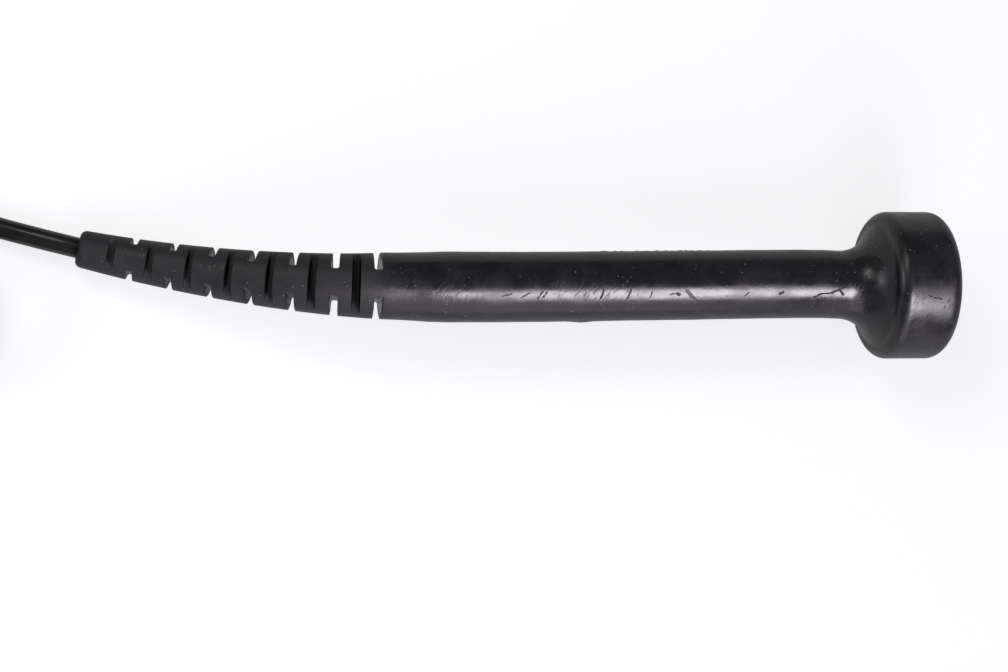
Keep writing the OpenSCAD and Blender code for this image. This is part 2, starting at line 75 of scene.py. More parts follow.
class BootSizes(bpy.types.PropertyGroup):
    """Sizes of the rubber boot, as the frame has them."""

    head_d: length("Head diameter", "Diameter of the head", 39.2 * MM)
    head_len: length("Head length", "Back face to front rim", 18 * MM)
    back_round: length("Back edge", "Rounding of the head's back edge", 3.6 * MM)
    front_round: length("Front edge", "Rounding of the head's front edge", 3.7 * MM)
    neck: length("Neck curve", "Radius of the hollow curve into the head", 10.5 * MM)
    groove: length("Groove", "Depth of the ring groove behind the head", 0.4 * MM)
    lip_d: length("Lip opening", "Diameter of the opening in the lip", 29.4 * MM)
    lip_t: length("Lip", "Thickness of the lip over the face ring", 2 * MM)
    collar_wall: length("Collar wall", "Wall of the head cup's collar inside the boot", 1.1 * MM)
    barrel_d: length("Barrel diameter", "Diameter of the barrel", 18.1 * MM)
    barrel_len: length("Barrel length", "Tail to neck curve", 121.1 * MM)
    root_blend: length("Root blend", "Length over which the tail widens into the barrel", 16 * MM)
    tail_reach: length("Tail reach", "Length of the tail along the barrel's axis", 76.4 * MM)
    tail_side: length("Tail offset", "Sideways offset of the tail's tip", 10.1 * MM)
    tail_lift: length("Tip height", "Height of the tip's rim above the floor", 0.3 * MM)
    root_d: length("Tail root", "Diameter of the tail at the barrel", 17 * MM)
    tip_d: length("Tail tip", "Diameter of the tail at its tip", 9.4 * MM)
    tip_round: length("Tip edge", "Rounding of the tip's edge", 1.6 * MM)
    slots: bpy.props.IntProperty(name="Slots", description="Slot stations along the tail", default=14)
    pitch: length("Slot pitch", "Distance between slot stations", 5.2 * MM)
    first: length("First slot", "Distance from the barrel to the first slot", 2.4 * MM)
    slot_w: length("Slot width", "Width of a slot", 2.05 * MM)
    slot_round: length("Slot corner", "Rounding of a slot's floor", 0.5 * MM)
    web: length("Web", "Thickness left between two facing slots", 6.8 * MM)
    roll: bpy.props.FloatProperty(
        name="Slot turn", description="Turn of the slots about the tail", default=math.radians(-4),
        subtype="ANGLE",
    )


class CordSizes(bpy.types.PropertyGroup):
    """Sizes of the cord and of its hank."""

    thick: length("Cord", "Diameter of the round cord", 5.3 * MM)
    run: length("Hank run", "Length of the hank's straight runs", 60 * MM)
    fold: length("Fold", "Radius of the innermost fold, at the cord's middle", 15 * MM)
    lead_in: length("Lead-in", "From the tail's tip to the hank's folds", 45.592 * MM)
    tie: length("Tie", "Thickness of the tie under the hank", 0.8 * MM)
    layers: bpy.props.IntProperty(name="Layers", description="Layers in the hank", default=3)


class EndSizes(bpy.types.PropertyGroup):
    """Sizes of the thumb button, the face ring, the tie and the plug's sleeve and relief."""

    button_d: length("Button", "Diameter of the thumb button", 18 * MM)
    button_top: length("Button top", "Thickness of the button's top", 2 * MM)
    button_wall: length("Button wall", "Thickness of the button's wall", 2 * MM)
    boss_wall: length("Boss wall", "Wall of the boss around the plunger", 1.5 * MM)
    flange: length("Flange", "Thickness of the button's flange", 1.4 * MM)
    travel: length("Travel", "How far the button goes in", 2.5 * MM)
    dimple: length("Dimple", "Depth of the hollow for the thumb", 0.7 * MM)
    ribs: bpy.props.IntProperty(name="Thumb ribs", description="Ring ribs in the thumb's hollow", default=4)
    collar: length("Collar", "Height of the collar around the button", 1 * MM)
    gap: length("Button gap", "Clearance around the button", 0.3 * MM)
    sleeve_wall: length("Sleeve wall", "Wall of the plug's sleeve", 0.9 * MM)
    sleeve_round: length("Sleeve end", "Rounding of the sleeve's cord end", 2.5 * MM)
    flutes: bpy.props.IntProperty(name="Flutes", description="Grip flutes around the sleeve", default=24)
    relief_wall: length("Relief wall", "Thickness of the plug's relief around the cord", 2 * MM)
    ridges: bpy.props.IntProperty(name="Relief rings", description="Rings on the plug's relief", default=4)
    weave: length("Weave", "Distance between the tie's threads", 0.75 * MM)


class Finishes(bpy.types.PropertyGroup):
    """Colours of the visible pieces."""

    rubber: tint("Rubber", "Moulded rubber of the boot", (0.0075, 0.0068, 0.0085))
    cord: tint("Cord jacket", "Glossy jacket of the cord", (0.006, 0.006, 0.0065))
    button: tint("Button", "Thumb button", (0.012, 0.012, 0.013))
    plastic: tint("Plastic", "Face ring, head cup and plug sleeve", (0.014, 0.014, 0.016))
    floor: tint("Floor", "White table", (0.85, 0.85, 0.855))


def smooth(t):
    """A soft step from 0 to 1."""
    t = min(1.0, max(0.0, t))
    return t * t * (3 - 2 * t)


# ---- Node helpers ----


def place(tree, kind, inputs=None, **settings):
    """Adds a node; an input is a plain value or the socket that feeds it."""
    made = tree.nodes.new(kind)
    for key, value in settings.items():
        setattr(made, key, value)
    for key, value in (inputs or {}).items():
        if isinstance(value, bpy.types.NodeSocket):
            tree.links.new(value, made.inputs[key])
        else:
            made.inputs[key].default_value = value
    return made


def maths(tree, operation, *values, clamp=False):
    """A Math node's result."""
    made = place(tree, "ShaderNodeMath", dict(enumerate(values)), operation=operation, use_clamp=clamp)
    return made.outputs[0]


def vector_maths(tree, operation, first, second):
    """A Vector Math node's result, a vector or a value."""
    made = place(tree, "ShaderNodeVectorMath", {0: first, 1: second}, operation=operation)
    return made.outputs["Value" if operation in ("DOT_PRODUCT", "DISTANCE") else "Vector"]


def combine(tree, x, y, z=0.0):
    """A vector put together from three values."""
    return place(tree, "ShaderNodeCombineXYZ", {0: x, 1: y, 2: z}).outputs[0]


def noise(tree, vector, scale, detail=2.0, **more):
    """A Noise texture's outputs: the value, then the colour."""
    inputs = {"Vector": vector, "Scale": scale, "Detail": detail, **more}
    return place(tree, "ShaderNodeTexNoise", inputs).outputs


def band(tree, value, low, high, to_low=0.0, to_high=1.0):
    """value, spread smoothly from low..high to to_low..to_high."""
    made = place(
        tree, "ShaderNodeMapRange",
        {"Value": value, "From Min": low, "From Max": high, "To Min": to_low, "To Max": to_high},
        interpolation_type="SMOOTHSTEP",
    )
    return made.outputs[0]


def blend_colour(tree, share, first, second):
    """A mix of two colours."""
    made = place(tree, "ShaderNodeMix", data_type="RGBA")
    for key, value in (("Factor", share), ("A", first), ("B", second)):
        socket = [s for s in made.inputs if s.name == key and s.enabled][0]
        if isinstance(value, bpy.types.NodeSocket):
            tree.links.new(value, socket)
        else:
            socket.default_value = value if key == "Factor" else (*value, 1)
    return [s for s in made.outputs if s.enabled][0]


def group(name, inputs, outputs):
    """A shader node group with named float inputs, a Vector first, and named float outputs."""
    tree = bpy.data.node_groups.new(name, "ShaderNodeTree")
    tree.interface.new_socket("Vector", in_out="INPUT", socket_type="NodeSocketVector")
    for key, value in inputs.items():
        tree.interface.new_socket(key, in_out="INPUT", socket_type="NodeSocketFloat").default_value = value
    for key in outputs:
        tree.interface.new_socket(key, in_out="OUTPUT", socket_type="NodeSocketFloat")
    return tree, tree.nodes.new("NodeGroupInput").outputs, tree.nodes.new("NodeGroupOutput")


def grain_group():
    """Moulded grain: Height for a bump, and slow Clouds for colour and gloss."""
    tree, given, out = group("Moulded grain", {"Fine": 3000.0, "Coarse": 90.0}, ["Height", "Clouds"])
    fine = noise(tree, given["Vector"], given["Fine"], 3.0)
    coarse = noise(tree, given["Vector"], given["Coarse"], 5.0, Roughness=0.62)
    height = maths(tree, "MULTIPLY_ADD", coarse[0], 1.6, fine[0])
    tree.links.new(height, out.inputs["Height"])
    tree.links.new(coarse[0], out.inputs["Clouds"])
    return tree


def dust_group():
    """Loose specks: a few cells in a scatter hold one small bright dot each."""
    tree, given, out = group("Dust specks", {"Scale": 500.0, "Amount": 0.1}, ["Mask"])
    cells = place(tree, "ShaderNodeTexVoronoi", {"Vector": given["Vector"], "Scale": given["Scale"]})
    pick = place(tree, "ShaderNodeSeparateColor", {"Color": cells.outputs["Color"]})
    chosen = maths(tree, "LESS_THAN", pick.outputs[0], given["Amount"])
    reach = band(tree, pick.outputs[1], 0.0, 1.0, 0.04, 0.12)
    near = maths(tree, "LESS_THAN", cells.outputs["Distance"], reach)
    tree.links.new(maths(tree, "MULTIPLY", chosen, near), out.inputs["Mask"])
    return tree


def scuff_group():
    """Rub marks drawn out along X: a soft mask of fine streaks."""
    tree, given, out = group("Rub marks", {"Along": 40.0, "Across": 900.0}, ["Mask"])
    spread = combine(tree, given["Along"], given["Across"], given["Across"])
    streaks = noise(tree, vector_maths(tree, "MULTIPLY", given["Vector"], spread), 1.0, 4.0)
    tree.links.new(band(tree, streaks[0], 0.5, 0.72), out.inputs["Mask"])
    return tree


def nick_group():
    """One cut or crease in the skin seen from above: a thin soft line from start to end."""
    ends = {"Start X": 0.0, "Start Y": 0.0, "End X": 0.01, "End Y": 0.0, "Width": 0.0003}
    tree, given, out = group("Nick", ends, ["Mask"])
    stray = 0.6 * MM
    wander = vector_maths(tree, "SUBTRACT", noise(tree, given["Vector"], 900.0)[1], (0.5, 0.5, 0.5))
    wander = vector_maths(tree, "MULTIPLY", wander, (stray, stray, 0))
    here = vector_maths(tree, "MULTIPLY", given["Vector"], (1, 1, 0))
    here = vector_maths(tree, "ADD", here, wander)
    start = combine(tree, given["Start X"], given["Start Y"])
    end = combine(tree, given["End X"], given["End Y"])
    along = vector_maths(tree, "SUBTRACT", end, start)
    reach = vector_maths(tree, "SUBTRACT", here, start)
    dot = vector_maths(tree, "DOT_PRODUCT", reach, along)
    share = maths(tree, "DIVIDE", dot, vector_maths(tree, "DOT_PRODUCT", along, along), clamp=True)
    foot = place(tree, "ShaderNodeVectorMath", {0: along, "Scale": share}, operation="SCALE")
    gap = vector_maths(tree, "DISTANCE", reach, foot.outputs[0])
    ratio = maths(tree, "DIVIDE", gap, given["Width"])
    tree.links.new(band(tree, ratio, 0.35, 1.0, 1.0, 0.0), out.inputs["Mask"])
    return tree


GROUPS = {}


def effect(tree, name, vector, **values):
    """Places one of the shared effects."""
    makers = {"grain": grain_group, "dust": dust_group, "scuff": scuff_group, "nick": nick_group}
    if name not in GROUPS:
        GROUPS[name] = makers[name]()
    made = place(tree, "ShaderNodeGroup", node_tree=GROUPS[name])
    tree.links.new(vector, made.inputs["Vector"])
    for key, value in values.items():
        made.inputs[key].default_value = value
    return made.outputs


def blank(name):
    """A new material with its tree, its Principled node and object coordinates."""
    material = bpy.data.materials.new(name)
    material.use_nodes = True
    tree = material.node_tree
    where = tree.nodes.new("ShaderNodeTexCoord").outputs["Object"]
    return material, tree, tree.nodes["Principled BSDF"], where


def feed(tree, shader, colour, roughness, height, strength, distance):
    """Feeds the three things that every finish varies."""
    tree.links.new(colour, shader.inputs["Base Color"])
    tree.links.new(roughness, shader.inputs["Roughness"])
    bump = place(tree, "ShaderNodeBump", {"Strength": strength, "Distance": distance, "Height": height})
    tree.links.new(bump.outputs[0], shader.inputs["Normal"])


def finish(name, colour, gloss, worn=None, fine=3000.0, depth=0.02, dust=0.05, metal=0.0):
    """A finish with grain, clouds, rub marks and dust. gloss is (lowest, highest) roughness, depth in mm."""
    if name in bpy.data.materials:
        return bpy.data.materials[name]
    material, tree, shader, where = blank(name)
    grain = effect(tree, "grain", where, Fine=fine)
    rub = effect(tree, "scuff", where)
    specks = effect(tree, "dust", where, Amount=dust)
    worn = worn or [min(1, c * 1.8 + 0.01) for c in colour]
    share = maths(tree, "MULTIPLY", band(tree, grain["Clouds"], 0.35, 0.7), 0.6)
    base = blend_colour(tree, share, colour, worn)
    base = blend_colour(tree, maths(tree, "MULTIPLY", specks["Mask"], 0.6), base, (0.25, 0.25, 0.26))
    rough = band(tree, grain["Clouds"], 0.3, 0.7, *gloss)
    rough = maths(tree, "MULTIPLY_ADD", rub["Mask"], 0.09, rough, clamp=True)
    feed(tree, shader, base, rough, grain["Height"], 0.35, depth * MM)
    shader.inputs["Metallic"].default_value = metal
    return material


def cord_jacket():
    """Glossy black jacket, on the cord and on its length inside the handle."""
    colour = bpy.context.scene.release_finishes.cord
    return finish("Cord jacket", colour, (0.16, 0.24), fine=1500.0, depth=0.012, dust=0.03)


def gasket_rubber():
    """Matt soft rubber, on the gasket, the solder sleeves and the plug's relief."""
    return finish("Gasket rubber", (0.016, 0.016, 0.017), (0.5, 0.65))


# ---- Mesh helpers ----


def piece(name, points, faces, body, material, sharp=35, replaces=()):
    """A closed mesh piece on a body, shaded smooth up to the sharp angle."""
    mesh = bpy.data.meshes.new(name)
    mesh.from_pydata([tuple(p) for p in points], [], [tuple(f) for f in faces])
    work = bmesh.new()
    work.from_mesh(mesh)
    bmesh.ops.remove_doubles(work, verts=work.verts, dist=2e-6)
    bmesh.ops.recalc_face_normals(work, faces=work.faces)
    work.to_mesh(mesh)
    work.free()
    mesh.shade_smooth()
    mesh.set_sharp_from_angle(angle=math.radians(sharp))
    made = bpy.data.objects.new(name, mesh)
    bpy.context.scene.collection.objects.link(made)
    mesh.materials.append(material)
    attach(made, body)
    if replaces:
        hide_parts(*replaces)
    return made


def loft_faces(rings, sides, closed=False):
    """Quads between rings of the same number of points."""
    pairs = [(i, i + 1) for i in range(rings - 1)] + ([(rings - 1, 0)] if closed else [])
    return [
        (a * sides + k, b * sides + k, b * sides + (k + 1) % sides, a * sides + (k + 1) % sides)
        for a, b in pairs
        for k in range(sides)
    ]


def lathe(profile, sides, shape=None):
    """Points of a shape turned about X. profile is a list of (x, radius); shape alters the radius."""
    angles = 2 * math.pi * np.arange(sides) / sides
    rings = []
    for x, radius in profile:
        r = shape(x, radius, angles) if shape else np.full(sides, radius)
        rings.append(np.stack([np.full(sides, x), r * np.cos(angles), r * np.sin(angles)], 1))
    return np.concatenate(rings)


def corner(x, radius, size, turn_from, steps=5):
    """A quarter round about (x, radius), from one angle on through a quarter turn."""
    angles = [turn_from + math.pi / 2 * i / steps for i in range(steps + 1)]
    return [(x + size * math.cos(a), radius + size * math.sin(a)) for a in angles]


def bevel(made, width, segments=2, angle=38):
    """Rounds a piece's sharp edges."""
    rounding = made.modifiers.new("Edge rounding", "BEVEL")
    rounding.width = width
    rounding.segments = segments
    rounding.limit_method = "ANGLE"
    rounding.angle_limit = math.radians(angle)
    rounding.harden_normals = True
    rounding.use_clamp_overlap = True


# ---- Boot ----

AROUND = 128
SIDE_POWER = 1.75  # how late the tail turns aside


class TailLine:
    """The tail's middle line in the handle's own frame: s is the length from the barrel's end."""

    def __init__(self, z):
        u = np.linspace(0, 1, 801)
        drop = z.head_d / 2 - z.tip_d / 2 - z.tail_lift
        fall = -drop * u * u * (3 - 2 * u)
        self.points = np.stack([-z.tail_reach * u, z.tail_side * u**SIDE_POWER, fall], 1)
        steps = np.linalg.norm(np.diff(self.points, axis=0), axis=1)
        self.run = np.concatenate([[0], np.cumsum(steps)])
        self.length = self.run[-1]

    def at(self, s):
        """The point at s; a negative s lies inside the barrel."""
        if s <= 0:
            return np.array([-s, 0, 0])
        return np.array([np.interp(s, self.run, self.points[:, i]) for i in range(3)])

    def axes(self, s):
        """The direction to the head, and the two axes across it."""
        d = self.at(s - 0.2 * MM) - self.at(min(s + 0.2 * MM, self.length))
        d /= np.linalg.norm(d)
        side = np.array([-d[1], d[0], 0]) / math.hypot(d[0], d[1])
        return d, side, np.cross(d, side)


def neck_curve(z):
    """Radius of the hollow curve from the barrel to the head, and the angle that it turns through."""
    rise = z.head_d / 2 - z.back_round - z.barrel_d / 2
    curve = max(z.neck, rise)
    return curve, math.acos(1 - rise / curve)


def handle_place(z):
    """Where the handle's own origin lies in the frame."""
    curve, sweep = neck_curve(z)
    return np.array([FRONT_X - z.head_len - z.barrel_len - curve * math.sin(sweep), 0, z.head_d / 2])


class Wear:
    """Unevenness of the moulding: slow waves, a flash line, a lump below and a slight bow."""

    BOW_AT = np.array([-36, -25, -6, 7, 20, 33, 47, 60, 74, 81, 87, 91]) * MM
    BOW = np.array([0, -0.25, -0.32, -0.26, -0.14, 0, 0.12, 0.3, 0.42, 0.36, 0.1, 0]) * MM

    def __init__(self):
        draw = np.random.default_rng(7)
        height = 0.014 * MM
        self.waves = [
            (height * draw.uniform(0.3, 1), 2 * math.pi / draw.uniform(7 * MM, 26 * MM),
             int(draw.integers(1, 5)), draw.uniform(0, 6.28), draw.uniform(0, 6.28))
            for _ in range(9)
        ]
        self.flash = draw.uniform(0, 1, 400) ** 3 * 0.3 * MM

    def at(self, x, angles):
        """How far the skin stands out at this place along the handle, and its shift aside."""
        out = sum(a * np.sin(k * x + p) * np.cos(n * angles + q) for a, k, n, p, q in self.waves)
        turned = (angles + math.pi) % (2 * math.pi) - math.pi
        side = np.exp(-((turned / math.radians(2.2)) ** 2))
        strength = smooth((x - 16 * MM) / (6 * MM)) * smooth((54 * MM - x) / (6 * MM))
        out = out + side * strength * self.flash[int(x / (0.6 * MM)) % 400]
        below = (angles % (2 * math.pi)) - math.pi
        lump = 0.3 * MM * math.exp(-(((x - 15 * MM) / (2.6 * MM)) ** 2))
        out = out + lump * np.exp(-((below / 0.16) ** 2))
        fade = smooth((x + 36 * MM) / (8 * MM)) * smooth((FRONT_X - 5 * MM - x) / (6 * MM))
        return out * fade, float(np.interp(x, self.BOW_AT, self.BOW))


def slot_angles(radius, depth, turn):
    """Angles of a ring's points, so that a pair of slots that deep starts exactly at a point."""
    quarter = AROUND // 4
    half = math.acos(min(1, depth / radius))
    index = np.arange(AROUND) - turn * quarter + quarter // 2
    turns, index = np.divmod(index, 2 * quarter)
    index = index - quarter // 2
    flat = np.arcsin(math.sin(half) * np.clip(index / (quarter / 2), -1, 1))
    round_part = half + (math.pi - 2 * half) * (index - quarter / 2) / quarter
    return math.pi * turns + np.where(index <= quarter / 2, flat, round_part) + turn * math.pi / 2


def tail_rings(z, line, even):
    """Rings of the skin, from the tail's rounded tip past the slots to the barrel."""
    rings = []
    half_slot = z.slot_w / 2
    lip = z.web / 2 + z.slot_round

    def taper(s):
        return (z.root_d + (z.tip_d - z.root_d) * s / line.length) / 2

    def add(s, radius, angles, cut=None, turn=0):
        _, side, up = line.axes(s)
        start = z.roll + (turn * math.pi / 2 if cut else 0)
        across, above = radius * np.cos(angles), radius * np.sin(angles)
        if cut:
            own = angles - turn * math.pi / 2
            across, above = np.clip(radius * np.cos(own), -cut, cut), radius * np.sin(own)
        c, n = math.cos(start), math.sin(start)
        aside, upward = across * c - above * n, across * n + above * c
        rings.append(line.at(s) + np.outer(aside, side) + np.outer(upward, up))

    def land(s0, s1, from_angles, to_angles, count):
        for i in range(1, count):
            t = i / count
            s = s0 + (s1 - s0) * t
            add(s, taper(s), from_angles + (to_angles - from_angles) * t * t * (3 - 2 * t))

    tip_start = line.length - z.tip_round
    for i in range(9):
        a = math.pi / 2 * i / 8
        s = tip_start + z.tip_round * math.cos(a)
        add(s, taper(s) - z.tip_round * (1 - math.sin(a)), even)
    turns = [math.pi / 2 * i / 5 for i in range(6)]
    flat = half_slot - z.slot_round
    floor = [(flat + z.slot_round * math.cos(a), lip - z.slot_round * math.sin(a)) for a in turns]
    floor += [(-off, cut) for off, cut in reversed(floor)]
    s_from, angles_from = tip_start, even
    for k in range(z.slots - 1, -1, -1):
        middle, turn = z.first + k * z.pitch, k % 2
        s = middle + half_slot
        angles = slot_angles(taper(s), lip, turn)
        land(s_from, s, angles_from, angles, 12 if k == z.slots - 1 else 6)
        add(s, taper(s), angles)
        for off, cut in floor:
            s = middle + off
            add(s, taper(s), slot_angles(taper(s), cut, turn), cut, turn)
        angles = slot_angles(taper(s), lip, turn)
        add(s, taper(s), angles)
        s_from, angles_from = s, angles
    land(s_from, 0, angles_from, even, 4)
    return rings


def skin_profile(z, x_back, x_front):
    """(x, radius) along the barrel, the neck and the head, up to the front rim."""
    barrel_r, head_r, root_r = z.barrel_d / 2, z.head_d / 2, z.root_d / 2
    curve, sweep = neck_curve(z)
    profile = []
    count = round(z.barrel_len / (0.6 * MM))
    for i in range(count):
        x = z.barrel_len * i / count
        profile.append((x, root_r + (barrel_r - root_r) * smooth(x / z.root_blend)))
    for i in range(32):
        a = sweep * i / 32
        profile.append((z.barrel_len + curve * math.sin(a), barrel_r + curve * (1 - math.cos(a))))
    seam = len(profile)
    for i in range(21):
        a = math.pi / 2 * i / 20
        x = x_back + z.back_round * (1 - math.cos(a))
        profile.append((x, head_r - z.back_round * (1 - math.sin(a))))
    groove_r, groove_w = head_r - z.back_round + 0.1 * MM, 0.8 * MM
    profile = [(x + z.groove * math.exp(-(((r - groove_r) / groove_w) ** 2)), r) for x, r in profile]
    for _ in range(6):
        for i in range(seam - 5, seam + 6):
            before, here, after = profile[i - 1 : i + 2]
            profile[i] = tuple((a + 2 * b + c) / 4 for a, b, c in zip(before, here, after))
    for i in range(1, 22):
        x = x_back + z.back_round + (z.head_len - z.back_round - z.front_round) * i / 22
        profile.append((x, head_r))
    for i in range(13):
        a = math.pi / 2 * i / 12
        x = x_front - z.front_round * (1 - math.sin(a))
        profile.append((x, head_r - z.front_round * (1 - math.cos(a))))
    return profile


def bore_profile(z, x_front, bush_back, bore_r):
    """(x, radius) from the lip's opening back along the cup, the collar and the stiffening tube."""
    cup_low, cup_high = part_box("head_cup")
    tube_low, tube_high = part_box("core_tube")
    lip_r, cup_r, tube_r = z.lip_d / 2, (cup_high.z - cup_low.z) / 2, (tube_high.z - tube_low.z) / 2
    shift = x_front - FRONT_X
    cup_back, collar_back = tube_high.x + shift, cup_low.x + shift - CLEAR
    collar_r = tube_r + z.collar_wall + CLEAR
    return [
        (x_front, lip_r + 0.3 * MM), (x_front - 0.09 * MM, lip_r + 0.09 * MM), (x_front - 0.3 * MM, lip_r),
        (x_front - z.lip_t, lip_r), (x_front - z.lip_t, cup_r + CLEAR), (cup_back, cup_r + CLEAR),
        (cup_back, collar_r), (collar_back, collar_r), (collar_back, tube_r + CLEAR),
        (bush_back, tube_r + CLEAR), (bush_back, bore_r),
    ]


def boot_rings(z):
    """Rings of the boot, from the tail's tip to the front rim and back through the bore."""
    line = TailLine(z)
    even = 2 * math.pi * np.arange(AROUND) / AROUND
    turned = even + z.roll
    x_front = FRONT_X - float(handle_place(z)[0])
    x_back = x_front - z.head_len
    bush_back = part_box("rear_bush")[0].x + x_front - FRONT_X - CLEAR
    bore_r = bpy.context.scene.release_cord.thick / 2 + CLEAR
    rings = tail_rings(z, line, even)
    skin = skin_profile(z, x_back, x_front)
    wear = Wear()
    for i, (x, radius) in enumerate(skin + bore_profile(z, x_front, bush_back, bore_r)):
        out, aside = wear.at(x - x_front + FRONT_X, turned) if i < len(skin) else (0, 0)
        c, n = (radius + out) * np.cos(turned), (radius + out) * np.sin(turned)
        rings.append(np.stack([np.full(AROUND, x), c + aside, n], 1))
    s_from, steps = 1 * MM - bush_back, 60
    for i in range(steps + 1):
        s = s_from + (line.length - s_from) * i / steps
        _, side, up = line.axes(s)
        c, n = bore_r * np.cos(turned), bore_r * np.sin(turned)
        rings.append(line.at(s) + np.outer(c, side) + np.outer(n, up))
    return rings


HALF_NICK = 0.55  # a nick's reach to each side with its soft edge, as a share of its width
NICKS = [
    # start x, start y, end x, end y and width in mm on the handle's top, then a share of full depth for the
    # groove and its painted shade
    (18.0, -3.5, 18.9, -1.4, 0.42, 0.9), (25.2, -3.5, 26.2, -1.3, 0.4, 0.9),
    (31.1, -3.3, 31.7, -1.8, 0.34, 0.5), (41.0, -1.6, 43.3, -4.2, 1.0, 0.4),
    (75.4, -3.3, 77.5, -2.4, 0.45, 1.0), (77.5, -2.4, 79.7, -2.3, 0.38, 1.0),
    (79.7, -2.3, 82.6, -1.2, 0.42, 1.0), (82.6, -1.2, 84.2, -0.6, 0.34, 0.9),
    (82.4, -1.3, 83.4, -2.6, 0.62, 1.0), (102.6, -3.1, 104.0, -3.7, 0.3, 0.8),
    (104.0, -3.7, 106.3, -4.0, 0.3, 0.9), (38.2, -2.3, 38.9, -2.5, 0.7, 0.8),
    (36.4, -2.6, 37.4, -2.3, 0.4, 0.5), (1.6, -3.4, 3.0, -1.5, 0.42, 0.7),
    (3.1, -3.1, 3.9, -1.9, 0.5, 0.8), (-7.5, -2.9, -5.2, -2.2, 0.4, 0.4),
    (-2.6, -3.3, -0.4, -2.0, 0.36, 0.5), (66.0, -2.4, 66.7, -2.0, 0.7, 0.6),
    (56.5, -3.0, 57.6, -2.0, 0.36, 0.4),
]


def slot_shade_mask(tree, split):
    """1 inside the tail's slots, 0 on its skin, from the distance to the tail's middle line: the mask of the
    painted shade in the slots and of their glossier floor.
    """
    z = bpy.context.scene.release_boot
    root_x = float(handle_place(z)[0])
    drop = z.head_d / 2 - z.tip_d / 2 - z.tail_lift
    u = maths(tree, "MULTIPLY_ADD", split.outputs[0], -1 / z.tail_reach, root_x / z.tail_reach, clamp=True)
    side = maths(tree, "MULTIPLY", maths(tree, "POWER", u, SIDE_POWER), z.tail_side)
    fall = maths(tree, "MULTIPLY", maths(tree, "MULTIPLY", u, u), maths(tree, "MULTIPLY_ADD", u, -2.0, 3.0))
    height = maths(tree, "MULTIPLY_ADD", fall, -drop, z.head_d / 2)
    across = maths(tree, "SUBTRACT", split.outputs[1], side)
    above = maths(tree, "SUBTRACT", split.outputs[2], height)
    square = maths(tree, "MULTIPLY_ADD", above, above, maths(tree, "MULTIPLY", across, across))
    skin = maths(tree, "MULTIPLY_ADD", u, (z.tip_d - z.root_d) / 2, z.root_d / 2)
    ratio = maths(tree, "DIVIDE", maths(tree, "SQRT", square), skin)
    deep = band(tree, ratio, 0.74, 0.95, 1.0, 0.0)
    return maths(tree, "MULTIPLY", deep, maths(tree, "GREATER_THAN", u, 0.001))


def nicks_mask(tree, where, split):
    """All the nicks together, ragged along their edges and only on the upper side: the mask of their grooves
    and of the painted shade in them.
    """
    cuts = 0.0
    for x0, y0, x1, y1, width, depth in NICKS:
        one = effect(tree, "nick", where, **{
            "Start X": x0 * MM, "Start Y": y0 * MM, "End X": x1 * MM, "End Y": y1 * MM,
            "Width": width * HALF_NICK * MM,
        })
        cuts = maths(tree, "MAXIMUM", cuts, maths(tree, "MULTIPLY", one["Mask"], depth))
    ragged = noise(tree, where, 1400.0, 3.0)[0]
    cuts = maths(tree, "MULTIPLY", cuts, band(tree, ragged, 0.34, 0.56, 0.25, 1.0))
    return maths(tree, "MULTIPLY", cuts, band(tree, split.outputs[2], 24 * MM, 26 * MM))


def boot_material():
    """Moulded rubber: matt tail, worn satin barrel and head, nicks, rub marks and dust, with painted shade
    in the nicks and in the tail's slots.
    """
    colours = bpy.context.scene.release_finishes
    material, tree, shader, where = blank("Boot rubber")
    split = place(tree, "ShaderNodeSeparateXYZ", {"Vector": where})
    grain = effect(tree, "grain", where, Fine=3200.0, Coarse=150.0)
    rub = effect(tree, "scuff", where, Along=60.0, Across=700.0)
    slanted = {"Vector": where, "Axis": (0, 0, 1), "Angle": math.radians(-62)}
    slanted = place(tree, "ShaderNodeVectorRotate", slanted).outputs[0]
    strokes = effect(tree, "scuff", slanted, Along=260.0, Across=1500.0)
    specks = effect(tree, "dust", where, Scale=900.0, Amount=0.6)
    patches = noise(tree, where, 42.0)[0]
    tail = band(tree, split.outputs[0], -44 * MM, -28 * MM, 1.0, 0.0)
    head = band(tree, split.outputs[0], 88 * MM, 96 * MM)
    cuts = nicks_mask(tree, where, split)
    # Painted shade: the colour inside the tail's slots is darkened to near black.
    inside = slot_shade_mask(tree, split)
    worn = maths(tree, "MULTIPLY", strokes["Mask"], band(tree, patches, 0.4, 0.62))
    share = maths(tree, "MULTIPLY", band(tree, grain["Clouds"], 0.35, 0.7), 0.55)
    base = blend_colour(tree, share, tuple(colours.rubber), (0.017, 0.0148, 0.020))
    base = blend_colour(tree, maths(tree, "MULTIPLY", tail, 0.4), base, (0.018, 0.017, 0.020))
    # Painted shade: the nicks and the inside of the tail's slots get a near-black colour; the nicks are also
    # real grooves in the bump below.
    base = blend_colour(tree, maths(tree, "MAXIMUM", cuts, inside), base, (0.0018, 0.0018, 0.002))
    dusty = maths(tree, "MULTIPLY", specks["Mask"], band(tree, patches, 0.35, 0.6, 0.15, 0.95))
    base = blend_colour(tree, dusty, base, (0.27, 0.3, 0.26))
    rough = band(tree, grain["Clouds"], 0.32, 0.68, 0.2, 0.33)
    for mask, change in ((rub["Mask"], 0.08), (worn, 0.2), (cuts, 0.4), (head, 0.05), (tail, 0.26)):
        rough = maths(tree, "MULTIPLY_ADD", mask, change, rough)
    rough = maths(tree, "MULTIPLY_ADD", inside, -0.2, rough, clamp=True)
    height = maths(tree, "MULTIPLY_ADD", cuts, -14.0, grain["Height"])
    height = maths(tree, "MULTIPLY_ADD", worn, -1.2, height)
    feed(tree, shader, base, rough, height, 0.6, 0.02 * MM)
    return material


